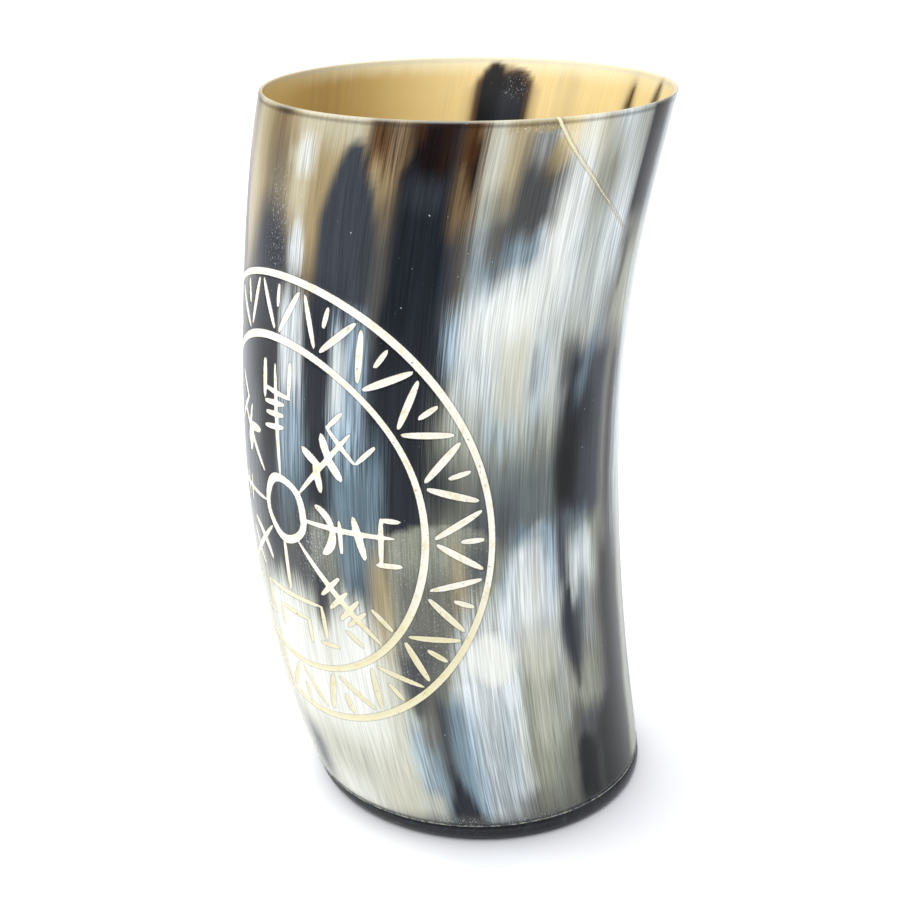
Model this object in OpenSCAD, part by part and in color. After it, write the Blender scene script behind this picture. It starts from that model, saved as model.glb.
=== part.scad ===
// A drinking cup cut from one length of curved horn and closed with a dark horn base.
// The cup stands on +Z. The origin is the centre of the base's underside, and the horn
// bulges towards -Y, the side that carries the carved roundel. Lengths are millimetres.

/* [Cup] */
// Height from the table to the lip
height = 150; // [120:1:180]
// Outside width of the mouth, across the bow
mouth_w = 86.5; // [80:0.5:94]
// Outside depth of the mouth, along the bow
mouth_d = 73; // [70:0.5:86]
// How far the mouth's centre lies behind the foot's centre
mouth_back = 1.4; // [0:0.2:6]
// How far the horn's middle stands forward of the foot
bow = 13.4; // [4:0.2:18]

/* [Horn sections] */
// Outside width of the foot
foot_w = 74; // [66:0.5:80]
// Outside depth of the foot
foot_d = 70.5; // [64:0.5:78]
// Outside width a quarter of the way up
hip_w = 78; // [72:0.5:84]
// Outside depth a quarter of the way up
hip_d = 72; // [66:0.5:80]
// Forward reach a quarter of the way up
hip_bow = 9.7; // [3:0.2:13]
// Outside width half way up
waist_w = 79; // [72:0.5:86]
// Outside depth half way up
waist_d = 71; // [66:0.5:80]
// Outside width three quarters of the way up
shoulder_w = 80.5; // [74:0.5:88]
// Outside depth three quarters of the way up
shoulder_d = 70; // [66:0.5:82]
// Forward reach three quarters of the way up
shoulder_bow = 10; // [3:0.2:13]

/* [Walls] */
// Thickness of the horn at the lip, which is fully rounded
lip_t = 1.5; // [1.2:0.1:2.5]
// Thickness of the horn at the foot
foot_t = 3.6; // [2.5:0.1:5]

/* [Base] */
// Thickness of the base disc
base_t = 4.8; // [3:0.1:6]
// Radius of the disc's worn lower edge
base_round = 1.8; // [0.8:0.1:2.4]
// Thickness of the adhesive between horn and disc
glue_t = 0.4; // [0.2:0.05:0.6]
// How far the adhesive bead stands proud of the horn
glue_proud = 0.15; // [0.05:0.05:0.3]
// Height and reach of the resin fillet in the inner corner
seal_leg = 3; // [1.5:0.1:5]

/* [Hidden] */

// Sides round every section, rings from the foot to the lip, steps in a rounded edge
sides = 72;
wall_rings = 20;
round_steps = 3;
// Width of the fillet's blunt edges, and the gap that it leaves to horn and disc
seal_edge = 0.4;
seal_gap = 0.05;
// How far a blank runs past the plane that trims it
overrun = 1;

// The horn starts on top of the adhesive
wall_foot = base_t + glue_t;
lip_r = lip_t / 2;
lip_z = height - lip_r;
// Outside widths, depths and forward reaches at equal steps from the foot to the mouth
widths = [foot_w, hip_w, waist_w, shoulder_w, mouth_w];
depths = [foot_d, hip_d, waist_d, shoulder_d, mouth_d];
reaches = [0, hip_bow, bow, shoulder_bow, -mouth_back];

// A smooth curve through equally spaced values, read at a share t of its length
function spline(v, t) =
    let (n = len(v) - 1,
         x = min(max(t, 0), 1) * n,
         i = min(floor(x), n - 1),
         f = x - i,
         b = v[i],
         c = v[i + 1],
         a = i > 0 ? v[i - 1] : 3 * v[0] - 3 * v[1] + v[2],
         d = i < n - 1 ? v[i + 2] : 3 * v[n] - 3 * v[n - 1] + v[n - 2])
    b + f / 2 * (c - a + f * (2 * a - 5 * b + 4 * c - d + f * (3 * b - a - 3 * c + d)));

// The horn is thickest at the foot and thins faster and faster towards the lip
function wall(z) = lip_t + (foot_t - lip_t) * (1 - pow(z / height, 2));

// The ring of points at height z that lies a given inset inside the outer surface
function ring(inset, z) =
    let (half_w = spline(widths, z / height) / 2 - inset,
         half_d = spline(depths, z / height) / 2 - inset,
         reach = spline(reaches, z / height))
    [for (k = [0 : sides - 1])
        let (a = 360 * k / sides)
        [half_w * cos(a), half_d * sin(a) - reach, z]];

// Triangles that join ring i to ring j, seen from outside when j follows i upwards
function strip(i, j) =
    [for (k = [0 : sides - 1])
        let (a = i * sides + k, b = i * sides + (k + 1) % sides,
             c = j * sides + (k + 1) % sides, d = j * sides + k)
        each [[a, d, c], [a, c, b]]];

// A hoop whose section is the loop of [inset, z] points: up the outside, down the inside
module hoop(loop) {
    n = len(loop);
    polyhedron(points = [for (p = loop) each ring(p[0], p[1])],
               faces = [for (i = [0 : n - 1]) each strip(i, (i + 1) % n)]);
}

// A solid stack of rings, from the lowest [inset, z] to the highest
module stack(levels) {
    n = len(levels);
    top = (n - 1) * sides;
    polyhedron(points = [for (p = levels) each ring(p[0], p[1])],
               faces = [[for (k = [0 : sides - 1]) k],
                        for (i = [0 : n - 2]) each strip(i, i + 1),
                        [for (k = [sides - 1 : -1 : 0]) top + k]]);
}

// The length of horn: a bowed, tapering tube that thins to a rounded lip
module horn_wall() {
    run = lip_z - wall_foot;
    outside = [for (i = [0 : wall_rings])
        [0, wall_foot + run * i / wall_rings]];
    lip = [for (i = [1 : 2 * round_steps - 1])
        let (a = 90 * i / round_steps)
        [lip_r * (1 - cos(a)), lip_z + lip_r * sin(a)]];
    inside = [for (i = [wall_rings : -1 : 0])
        let (z = wall_foot + run * i / wall_rings)
        [wall(z), z]];
    color("#8a8070") hoop([each outside, each lip, each inside]);
}

// The plate of black horn under the tube, shaped to the tube's outline, its foot edge worn
module base_disc() {
    edge = [for (i = [0 : round_steps])
        let (a = 90 * i / round_steps)
        [base_round * (1 - sin(a)), base_round * (1 - cos(a))]];
    blank = mouth_w + bow;
    color("#1f2224") intersection() {
        stack([[base_round, -overrun], each edge, [0, base_t + overrun]]);
        translate([-blank, -blank, 0]) cube([2 * blank, 2 * blank, base_t]);
    }
}

// The adhesive between tube and plate, squeezed out into a fine bead all round
module glue_line() {
    bead = [for (i = [0 : 2 * round_steps])
        let (a = 90 * i / round_steps)
        [-glue_proud * sin(a), base_t + glue_t * (1 - cos(a)) / 2]];
    color("#b9b3a6") hoop([each bead, [wall(wall_foot), wall_foot], [wall(base_t), base_t]]);
}

// The resin fillet that seals the inner corner between tube and plate
module inner_seal() {
    arc_r = seal_leg - seal_gap - seal_edge;
    low = base_t + seal_gap;
    high = base_t + seal_leg;
    hollow = [for (i = [0 : 2 * round_steps])
        let (a = 45 * i / round_steps, z = high - arc_r * sin(a))
        [wall(z) + seal_leg - arc_r * cos(a), z]];
    color("#c9a35c") hoop([[wall(low) + seal_gap, low], [wall(high) + seal_gap, high],
                           each hollow, [wall(low) + seal_leg, low]]);
}

horn_wall();
base_disc();
glue_line();
inner_seal();
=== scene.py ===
import math
import random
from contextlib import contextmanager
from typing import NamedTuple

import bmesh
import bpy
import numpy as np
from bpy.props import FloatProperty, FloatVectorProperty, IntProperty, PointerProperty
from mathutils import Matrix, Vector


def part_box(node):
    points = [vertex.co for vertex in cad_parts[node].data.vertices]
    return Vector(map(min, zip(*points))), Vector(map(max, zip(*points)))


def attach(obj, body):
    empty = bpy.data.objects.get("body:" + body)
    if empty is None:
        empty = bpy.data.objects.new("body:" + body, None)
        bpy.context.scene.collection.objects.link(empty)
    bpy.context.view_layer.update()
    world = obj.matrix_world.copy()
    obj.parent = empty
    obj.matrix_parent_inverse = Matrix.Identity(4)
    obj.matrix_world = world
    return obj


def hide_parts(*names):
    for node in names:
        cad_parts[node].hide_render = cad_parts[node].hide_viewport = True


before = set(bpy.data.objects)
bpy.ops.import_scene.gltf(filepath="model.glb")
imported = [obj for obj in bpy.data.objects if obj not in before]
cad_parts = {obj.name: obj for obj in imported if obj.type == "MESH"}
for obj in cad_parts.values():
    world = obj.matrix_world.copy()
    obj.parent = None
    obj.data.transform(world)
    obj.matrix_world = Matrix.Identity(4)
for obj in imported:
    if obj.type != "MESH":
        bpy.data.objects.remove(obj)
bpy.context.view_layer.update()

bl_info = {
    "name": "Horn drinking cup",
    "version": (1, 0, 0),
    "blender": (4, 5, 0),
    "location": "View3D > Sidebar > Horn cup",
    "description": "Dresses the packed horn cup with polished horn, a carved roundel and a studio",
    "category": "Add Mesh",
}

# One millimetre in Blender's metres. Shapes are worked out in millimetres.
MM = 0.001


# Settings that a user would change

def length(name, description, mm):
    """A size in the panel, given here in millimetres."""
    return FloatProperty(name=name, description=description, default=mm * MM,
                         min=0.0, precision=5, subtype="DISTANCE", unit="LENGTH")


def angle(name, description, degrees):
    """An angle in the panel, given here in degrees."""
    return FloatProperty(name=name, description=description, default=math.radians(degrees),
                         subtype="ANGLE", unit="ROTATION")


def tint(name, description, red, green, blue):
    """A colour in the panel, given here as it looks on a screen, from 0 to 255."""
    seen = [level / 255 for level in (red, green, blue)]
    linear = [level / 12.92 if level <= 0.04045 else ((level + 0.055) / 1.055) ** 2.4
              for level in seen]
    return FloatVectorProperty(name=name, description=description, default=linear,
                               min=0.0, max=1.0, size=3, subtype="COLOR")


class CarvingSizes(bpy.types.PropertyGroup):
    """Place and size of the carved roundel."""
    around: angle("Place round the cup", "Roundel's centre, turned from -Y towards +X", -15.1)
    up: length("Height", "Height of the roundel's centre above the table", 75.4)
    outer_ring: length("Outer ring", "Radius of the outer ring", 46.0)
    inner_ring: length("Inner ring", "Radius of the ring inside the border", 34.0)
    hub_ring: length("Hub ring", "Radius of the small ring in the middle", 6.0)
    hub_right: length("Hub to the right", "How far the hub lies right of the centre", 1.9)
    hub_rise: length("Hub rise", "How far the hub lies above the centre", 0.9)
    ring_cut: length("Ring cut", "Width of a large ring's groove", 1.35)
    hub_cut: length("Hub cut", "Width of the hub's groove", 1.7)
    leaf_cut: length("Leaf cut", "Greatest width of a border stroke", 1.45)
    depth: length("Depth", "Depth of the deepest cuts", 0.32)
    border_turns: IntProperty(name="Border turns", description="Zigzags in the border",
                              default=20, min=6, max=60)


class CrackSizes(bpy.types.PropertyGroup):
    """The crack under the rim that is filled with pale resin."""
    start: length("Width at the rim", "Width of the filled crack where it starts", 0.62)
    end: length("Width at its end", "Width of the filled crack where it runs out", 0.2)
    stray: length("Stray", "How far the crack strays from its path", 0.07)


class HornLooks(bpy.types.PropertyGroup):
    """Colours of the horn's fibres, the pigment and the resin."""
    # Milk also paints the washed-out reflection of the floor and a glare spot
    milk: tint("Milk", "Whitest horn", 236, 237, 228)
    cream: tint("Cream", "Milky horn", 207, 206, 188)
    olive: tint("Olive", "Grey-green horn between the other colours", 164, 166, 148)
    # Silver also paints the highlight stripe on the left and part of the floor's reflection
    silver: tint("Silver", "Bright fibres of the pale zones", 230, 236, 236)
    # Sky also paints bluish reflections on the roundel
    sky: tint("Sky", "Bluish horn where pale lies over dark", 180, 201, 214)
    teal: tint("Teal", "Darker bluish horn", 120, 141, 151)
    tan: tint("Tan", "Warm translucent horn", 174, 158, 120)
    bark: tint("Bark", "Brown horn beside the dark flames", 128, 106, 76)
    hair: tint("Hair", "Horn with brown hair-like fibres", 150, 120, 84)
    smoke: tint("Smoke", "Brown-grey translucent horn", 106, 105, 98)
    slate: tint("Slate", "Hazy blue-black horn", 70, 74, 80)
    navy: tint("Navy", "Blue-black horn", 40, 45, 52)
    black: tint("Black", "Darkest horn", 14, 14, 16)
    umber: tint("Umber", "Dark brown horn", 27, 11, 6)
    chestnut: tint("Chestnut", "Red-brown edges of the dark flames", 84, 54, 26)
    honey: tint("Honey", "Inside of the cup", 240, 215, 154)
    # Butter under the lip inside is painted glow of light through the thin horn
    butter: tint("Butter", "Glowing horn under the lip inside", 252, 242, 206)
    ochre: tint("Ochre", "Darker parts of the inside", 190, 158, 92)
    pigment: tint("Pigment", "Chalk white rubbed into the carving", 240, 236, 222)
    stain: tint("Stain", "Yellow stain in the carving", 220, 210, 160)
    straw: tint("Straw", "Resin that fills the crack", 228, 220, 178)
    gold: tint("Gold", "Glitter and thick resin beside the crack", 206, 188, 140)
    base_black: tint("Base black", "Horn of the base plate", 22, 25, 29)


class StudioSettings(bpy.types.PropertyGroup):
    """Camera and light."""
    heading: angle("Heading", "Where the camera looks, turned from +Y towards -X", 38.89)
    pitch: angle("Pitch", "How far the camera looks down", 22.5)
    roll: angle("Roll", "How far the camera is turned about its own axis", -2.05)
    east: length("East", "Camera's place along +X", 184.4)
    south: length("South", "Camera's place along -Y", 235.6)
    high: length("High", "Camera's height above the table", 197.9)
    lens: FloatProperty(name="Lens", description="Focal length", default=61.05,
                        min=10.0, subtype="DISTANCE_CAMERA", unit="CAMERA")
    floor_size: length("Floor", "Side of the floor", 6000.0)


# The horn's shape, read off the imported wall

class HornShape:
    """Sections of the horn: half width, half depth, forward reach and wall at any height."""

    SMOOTHNESS = 6         # degree of the curves laid through the rings
    RING_POINTS = 100      # a level that both faces of the wall cross has more points than this
    RING_BAND = 0.02       # how far off its level a ring's point may lie, in mm
    SIDE_BAND = 0.1        # how far off the middle the wall is measured, in mm
    CLEAR = 0.06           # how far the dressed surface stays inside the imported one

    def __init__(self, wall_node):
        points = get_points(wall_node.data) / MM
        levels, counts = np.unique(np.round(points[:, 2], 2), return_counts=True)
        rows = []
        for level in levels[counts >= self.RING_POINTS]:
            ring = points[np.abs(points[:, 2] - level) < self.RING_BAND]
            west, east = ring[:, 0].min(), ring[:, 0].max()
            front, back = ring[:, 1].min(), ring[:, 1].max()
            middle = (front + back) / 2
            side = ring[(np.abs(ring[:, 1] - middle) < self.SIDE_BAND) & (ring[:, 0] > 0), 0]
            rows.append((level, (east - west) / 2, (back - front) / 2, -middle,
                         east - side.min()))
        level, width, depth, reach, wall = np.array(rows).T
        fit = np.polynomial.Polynomial.fit
        self.width_at = fit(level, width, self.SMOOTHNESS)
        self.depth_at = fit(level, depth, self.SMOOTHNESS)
        self.reach_at = fit(level, reach, self.SMOOTHNESS)
        self.wall_at = fit(level, wall, self.SMOOTHNESS)
        self.foot = level.min()
        self.top = points[:, 2].max()
        self.lip = level.max()         # the highest level that both faces cross

    def at(self, around, up, inset=0.0):
        """Points in mm, at angles from -Y towards +X in degrees, at heights in mm."""
        turn = np.radians(around)
        half_width = self.width_at(up) - self.CLEAR - inset
        half_depth = self.depth_at(up) - self.CLEAR - inset
        return np.stack([half_width * np.sin(turn),
                         -half_depth * np.cos(turn) - self.reach_at(up),
                         up + 0 * turn], axis=-1)

    def outward(self, around, up):
        """Unit normals of the outer surface."""
        step = 0.01
        sideways = self.at(around + step, up) - self.at(around - step, up)
        upwards = self.at(around, up + step) - self.at(around, up - step)
        normal = np.cross(sideways, upwards)
        return normal / np.linalg.norm(normal, axis=-1, keepdims=True)

    def arc(self, start, around, up, steps=24):
        """Length along the surface at one height, from the angle start to each angle."""
        part = np.linspace(0.0, 1.0, steps + 1)
        turn = np.radians(start + (around - start)[:, None] * part)
        pace = np.hypot(self.width_at(up)[:, None] * np.cos(turn),
                        self.depth_at(up)[:, None] * np.sin(turn))
        mean = (pace[:, 1:] + pace[:, :-1]).mean(axis=1) / 2
        return mean * np.radians(around - start)

    def climb(self, around, start, up, steps=400):
        """Length along the surface at one angle, from the height start to each height."""
        heights = np.linspace(0.0, self.top, steps)
        line = self.at(around + 0 * heights, heights)
        run = np.linalg.norm(np.diff(line, axis=0), axis=1)
        total = np.concatenate([[0.0], np.cumsum(run)])
        return np.interp(up, heights, total) - np.interp(start, heights, total)


def smooth_step(value):
    """0 below 0, 1 above 1, and a soft curve between."""
    held = np.clip(value, 0.0, 1.0)
    return held * held * (3.0 - 2.0 * held)


def soft_edge(within, blur, spread=1.5):
    """0 outside an edge, 1 inside it and a soft curve between, from how far within a place is."""
    return smooth_step(within / (spread * blur) + 0.5)


# Colour patches that run along the horn

# Each paint and how much darker its shadows are than its fibres
PAINTS = {
    "milk": 0.22, "cream": 0.22, "olive": 0.34, "silver": 0.50, "sky": 0.60, "teal": 0.42,
    "tan": 0.16, "bark": 0.40, "hair": 0.86, "smoke": 0.26, "slate": 0.28, "navy": 0.40,
    "black": 0.60, "umber": 0.60, "honey": 0.07, "ochre": 0.12, "gold": 0.30,
    "chestnut": 0.55, "butter": 0.04,
}
# A paint with a higher mean level than this is a pale one
PALE = 0.2


class Streak(NamedTuple):
    """One patch: angles in degrees from -Y towards +X, heights and fades in mm."""
    paint: str
    around: float
    low: float
    high: float
    half: float               # half its width
    soft: float               # width of its blurred side
    strength: float = 1.0
    point_up: float = 0.0     # length over which the top narrows to a point
    point_down: float = 0.0
    lean: float = 0.0         # degrees that it drifts per mm of height
    fade: float = 8.0         # length over which its ends blur
    ragged: float = 0.25      # how far its fibres run past its ends
    taper: float = 0.5        # 0.5 for rounded points, 1 for straight ones

    def cover(self, around, up, stray):
        """How much the patch covers each place, from 0 to 1."""
        up = up + self.ragged * stray
        width = np.full_like(around, self.half)
        if self.point_up:
            width *= np.clip((self.high - up) / self.point_up, 0.0, 1.0) ** self.taper
        if self.point_down:
            width *= np.clip((up - self.low) / self.point_down, 0.0, 1.0) ** self.taper
        centre = self.around + self.lean * (up - (self.low + self.high) / 2)
        off = np.abs((around - centre + 180.0) % 360.0 - 180.0)
        ends = soft_edge(self.high - up, self.fade) * soft_edge(up - self.low, self.fade)
        return soft_edge(width - off, self.soft) * ends


# Painted in this order, each over the ones before it. The bare values are the paint, around,
# low, high, half and soft, and then the strength and the two points where there are any.
OUTSIDE = [
    # The warm top, and the dark field behind the roundel
    Streak("tan", -10, 114, 190, 42, 8, fade=24),
    Streak("cream", -45, 130, 190, 12, 9, 0.35, fade=24),
    Streak("cream", -2, 145, 190, 13, 8, 0.45, fade=4),
    Streak("navy", 2, 60, 114, 36, 8, fade=12),
    Streak("navy", -34, 52, 121, 15, 10, 0.9, fade=14),
    Streak("black", -24, 84, 117, 11, 9, 0.95, fade=12),
    Streak("slate", -22, 118, 137, 11, 9, 1.0, 16, fade=9),
    Streak("navy", -20, 106, 129, 9, 8, 0.9, fade=10),
    Streak("bark", -21.5, 136, 190, 5, 6, 0.85, fade=10),
    Streak("smoke", -21, 133, 144, 6, 6, 0.5, fade=8),
    Streak("black", -20.5, 148.9, 190, 4, 3, 0.6, fade=0.8, ragged=0.1),
    Streak("navy", -4, 102, 123, 9, 6, 0.8, fade=10),
    Streak("bark", -3.6, 116, 144, 2.8, 3, 0.35, fade=8),
    # Painted highlight: the soft reflection of a tall bright source on the left, two pale blobs near
    # the top and a pale stripe down over the rings
    Streak("cream", -10.5, 132, 142, 3.6, 3, 0.35, fade=5),
    Streak("silver", -9.4, 140, 145.4, 2.4, 2.6, 0.85, fade=2.6, ragged=0.1),
    Streak("cream", -12.8, 140.6, 144, 3, 3, 0.6, fade=2.6, ragged=0.1),
    Streak("silver", -9.3, 120.5, 132, 2.4, 2.4, 1.0, 6, 6, fade=3, ragged=0.1),
    Streak("teal", -8, 76, 98, 5.5, 4, 0.8, fade=12),
    Streak("sky", -8, 88, 100, 5, 3, 0.75, fade=8),
    Streak("silver", -9, 100, 117, 4.4, 2.4, 0.85, fade=5),
    # Painted reflection: a faint pale wash towards the left edge
    Streak("silver", -30, 74, 97, 4.5, 4, 0.15, fade=6),
    # The dark flames
    Streak("slate", 6.5, 95, 146.4, 8.5, 2.4, 1.0, 14, fade=1.6, ragged=0.05),
    Streak("slate", 12.6, 96, 139, 2.4, 2.2, 0.9, 9, fade=3, ragged=0.05),
    Streak("navy", 1.5, 80, 119, 5, 4, 0.8, fade=9),
    Streak("slate", 16.5, 96, 134, 3, 2.6, 0.95, fade=8),
    Streak("bark", 17.2, 127, 150, 5.2, 1.8, 0.85, 0, 23, taper=1.0, fade=5),
    Streak("tan", 16.6, 136, 150, 2.8, 1.8, 0.55, 0, 14, taper=1.0, fade=3),
    Streak("tan", 16.5, 147, 190, 5, 3, 0.3, fade=3),
    Streak("smoke", 17.4, 113, 136, 1.8, 1.8, 0.55, fade=8),
    Streak("hair", 15.5, 142.5, 190, 5.6, 2.6, 0.9, fade=4, ragged=0.8),
    Streak("chestnut", 12.4, 144.5, 190, 2.8, 2.4, 0.8, fade=3, ragged=0.6),
    Streak("chestnut", 20.8, 141, 190, 1.4, 1.6, 0.75, fade=5, ragged=0.6),
    Streak("bark", 36.4, 115, 190, 5.2, 2.0, 0.95, 0, 26, taper=0.6, fade=7),
    Streak("navy", 26.3, 74, 190, 7.4, 2.0, ragged=0.1),
    Streak("navy", 33.5, 84, 137, 5.3, 2.2, 1.0, 23, taper=0.9, fade=2, ragged=0.1),
    Streak("umber", 26.6, 140.5, 190, 5, 3.4, 0.95, fade=4, ragged=0.5),
    Streak("slate", 27, 135.5, 141, 5, 2.6, 0.5, fade=3),
    Streak("chestnut", 30.5, 142, 190, 2, 2, 0.25, fade=4),
    Streak("bark", 19.8, 141.5, 190, 1.8, 1.6, 0.8, 0, 4, fade=2, ragged=0.5),
    Streak("chestnut", 22.4, 144, 190, 1.8, 1.8, 0.8, 0, 4, fade=3, ragged=0.6),
    # The pale right side
    Streak("silver", 66, 94, 190, 25.5, 3, 0.95, fade=14),
    Streak("bark", 38.2, 115, 190, 3.4, 2.0, 0.85, 0, 34, taper=0.6, fade=7),
    Streak("bark", 35.2, 131, 144, 1.7, 1.8, 0.6, fade=3),
    Streak("smoke", 38.6, 117, 131, 2.6, 2.4, 0.8, fade=5),
    Streak("slate", 36.2, 114, 132, 1.8, 1.8, 0.7, fade=5),
    Streak("chestnut", 37.4, 135, 144, 1.7, 1.8, 0.7, 0, 8, fade=3),
    Streak("umber", 37.2, 137.5, 147, 2.0, 1.5, 1.0, 0, 10, lean=-0.13, fade=2.0, taper=0.6),
    Streak("chestnut", 35.8, 143, 190, 2.0, 1.8, 0.85, fade=2),
    Streak("sky", 39.5, 108, 118, 2.2, 2.0, 0.8, fade=5),
    Streak("olive", 43, 132, 142, 3, 3, 0.7, fade=5),
    Streak("cream", 43.8, 137, 190, 3.6, 3, 0.85, fade=5),
    Streak("tan", 48.4, 133, 190, 3.6, 3, 0.85, fade=5),
    Streak("smoke", 47, 130, 139, 4, 3, 0.5, fade=4),
    Streak("bark", 50.2, 133, 147, 1.5, 2, 0.4, fade=4),
    Streak("teal", 43.4, 124, 132, 3.2, 2.4, 0.5, fade=3),
    Streak("smoke", 43.4, 126, 132, 3.2, 2.4, 0.3, fade=3),
    Streak("smoke", 47.4, 123, 134, 3.0, 2.2, 0.95, 0, 6, fade=3),
    Streak("slate", 50, 124, 134, 1.8, 1.8, 0.7, fade=3),
    Streak("teal", 54.6, 125, 131.5, 4.4, 2.4, 0.8, fade=2.4),
    Streak("smoke", 56.6, 131, 143.5, 7.0, 2.0, 1.0, fade=3, ragged=0.5),
    Streak("smoke", 54.2, 140, 190, 3.8, 2.6, 0.7, fade=3, ragged=0.4),
    Streak("slate", 56.4, 131, 142, 6.0, 2.4, 0.6, fade=3, ragged=0.5),
    Streak("bark", 58.5, 139, 147, 3.9, 1.3, 0.4, 4, 4, fade=0.6, ragged=0.0),
    Streak("gold", 59, 140.4, 146.4, 2.6, 1.6, 0.25, 3, 3, fade=0.6, ragged=0.0),
    Streak("tan", 53.5, 148, 190, 9.5, 3, 0.85, fade=0.8, ragged=0.1),
    Streak("tan", 60, 141.5, 146, 2.4, 2, 0.7, fade=2),
    Streak("honey", 61.5, 144.6, 190, 2.6, 2.4, 0.6, fade=2),
    Streak("butter", 67.5, 143, 190, 5.5, 5, 0.4, fade=4),
    Streak("tan", 72.5, 135, 190, 3, 3, 0.4, fade=5),
    Streak("olive", 77, 135, 146, 4, 5, 0.9, fade=7),
    Streak("smoke", 77.5, 134, 142, 3, 3.4, 0.4, fade=4),
    Streak("olive", 88, 140, 190, 4, 5, 0.8, fade=12),
    Streak("olive", 76, 122, 137, 4, 5, 0.45, fade=9),
    Streak("olive", 73, 104, 119, 14, 6, 0.5, fade=10),
    Streak("black", 99.5, 129, 190, 9.5, 2.4, fade=5),
    Streak("navy", 98, 132, 145, 6, 4, 0.8, fade=5),
    Streak("smoke", 95, 123, 130, 6, 4, 0.9, fade=5),
    Streak("smoke", 90, 108, 122, 4, 4, 0.7, fade=8),
    Streak("olive", 98, 110, 123, 4, 4, 0.9, fade=8),
    Streak("navy", 93.4, 117, 128, 1.4, 1.5, 0.7, 4, 4, fade=2),
    Streak("teal", 46, 121, 126.5, 4.2, 2.6, 0.5, fade=3),
    Streak("slate", 49, 120.5, 126, 1.8, 1.8, 0.6, 0, 4, fade=2.4),
    Streak("milk", 56, 108, 123, 6.5, 4, 0.9, fade=6),
    Streak("milk", 46, 110, 119, 4, 3, 0.5, fade=5),
    Streak("milk", 65.5, 118, 141, 4.5, 4, 0.7, fade=9),
    Streak("olive", 44, 84, 102, 7, 6, 0.5, fade=12),
    Streak("cream", 57, 96, 113, 4.6, 3, 0.85, fade=4),
    Streak("sky", 65, 93, 110, 2.6, 2.6, 0.5, fade=6),
    Streak("smoke", 75, 102, 112, 3.2, 2.6, 0.8, fade=4),
    Streak("smoke", 63.4, 102, 111, 1, 1.2, 0.5, fade=3),
    # The dusky belt
    Streak("smoke", 72, 84, 100, 5, 5, 0.45, fade=12),
    Streak("olive", 56, 79, 97, 19, 8, 0.55, fade=12),
    Streak("sky", 53.5, 92.5, 99, 4.5, 3, 0.5, fade=4),
    Streak("smoke", 60, 73, 90, 15, 6, 0.95, fade=7),
    Streak("teal", 62, 75, 92, 13, 5, 0.3, fade=6),
    Streak("slate", 53, 73, 83, 8, 6, 0.6, fade=5),
    Streak("smoke", 66.5, 88, 97, 3, 3, 0.4, fade=4),
    Streak("navy", 39, 78, 92, 5, 5, 0.8, fade=8),
    Streak("slate", 84.5, 74, 109.5, 10.5, 5, 1.0, fade=5),
    Streak("black", 78.4, 97, 107.5, 1.6, 2, 0.5, fade=4),
    Streak("navy", 84, 76, 96, 6, 5, 0.5, fade=8),
    Streak("navy", 83, 91, 101, 5, 4, 0.75, fade=5),
    Streak("teal", 82, 98, 112, 2.2, 2.2, 0.6, lean=0.5, fade=4),
    Streak("black", 77.6, 74, 103, 4.6, 3, 0.75, 10, 12, fade=6),
    Streak("black", 76.6, 71, 92, 3.8, 2.4, 0.8, 0, 12, fade=6),
    Streak("black", 102, -20, 108, 6, 4, 1.0),
    # The pale foot, right of the roundel, with a painted reflection of the bright floor below about
    # 77 mm
    Streak("smoke", 88, -20, 60, 13, 5, fade=8),
    # Painted reflection: the bright floor in the glossy horn, pale up to a sharp edge near 77 mm
    Streak("silver", 63.5, 30, 64, 10.4, 3, 0.95, fade=4),
    Streak("silver", 64.6, 56, 77, 10.4, 2.8, 0.95, 14, lean=0.35, fade=1.6),
    Streak("teal", 66, 73, 77, 6, 3, 0.6, fade=2.4),
    Streak("teal", 71.6, 69, 77, 2.6, 2.6, 0.7, fade=3),
    Streak("teal", 56.4, 60, 75, 2, 2, 0.5, lean=0.55, fade=3),
    Streak("milk", 64.5, 54, 69, 4, 4, 0.5, fade=6),
    Streak("sky", 72, 62, 74, 1.6, 2.0, 0.7, fade=5),
    Streak("slate", 77, 46, 64, 2.2, 1.6, 0.95, fade=4),
    Streak("slate", 76.4, 62, 79, 2.6, 2, 0.95, fade=4),
    Streak("silver", 84.6, 62, 73.5, 5.4, 3.4, 0.75, 5, fade=4),
    Streak("silver", 87, 46, 62, 3, 3, 0.3, fade=5),
    Streak("teal", 83.2, 52, 63, 1.4, 1.6, 0.7, fade=4),
    Streak("silver", 80.4, 57, 72, 1.2, 1.4, 0.8, 0, 8, fade=3),
    Streak("teal", 82, 70, 77, 4, 3, 0.5, fade=3),
    Streak("slate", 80, 37, 57, 4, 2, 0.85, 0, 17, fade=4, taper=0.8),
    Streak("smoke", 95, 36, 74, 4, 4, 0.8, fade=8),
    Streak("olive", 85, 31, 45, 4, 4, 0.7, fade=5),
    Streak("olive", 79, 34, 42, 5, 4, 0.8, fade=4),
    Streak("slate", 79.6, 37, 52, 3, 1.8, 0.8, 0, 14, fade=3, taper=0.8),
    Streak("navy", 78.6, 37, 62, 2.0, 1.4, 0.9, 8, 20, lean=-0.06, fade=3),
    Streak("slate", 86, 18, 31, 8, 5, 0.7, fade=5),
    Streak("olive", 65, 6, 50, 7.4, 4, 0.95, fade=12),
    Streak("cream", 65.5, 26, 47, 2.6, 3, 0.5, fade=8),
    Streak("cream", 66.5, 43, 54, 6, 3, 0.6, fade=4),
    Streak("smoke", 75, 20, 34, 3.5, 4, 0.45, fade=6),
    Streak("smoke", 71.5, -20, 23, 3.6, 3.4, 0.7, fade=8),
    Streak("smoke", 65, -20, 14, 10, 5, 0.5, fade=8),
    Streak("black", 80, -20, 26, 5, 3, 1.0, 7, fade=5),
    Streak("black", 93, -20, 32, 8, 5, 1.0, 10, fade=8),
    Streak("black", 98.5, -20, 66, 5, 4, 1.0, fade=5),
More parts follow.
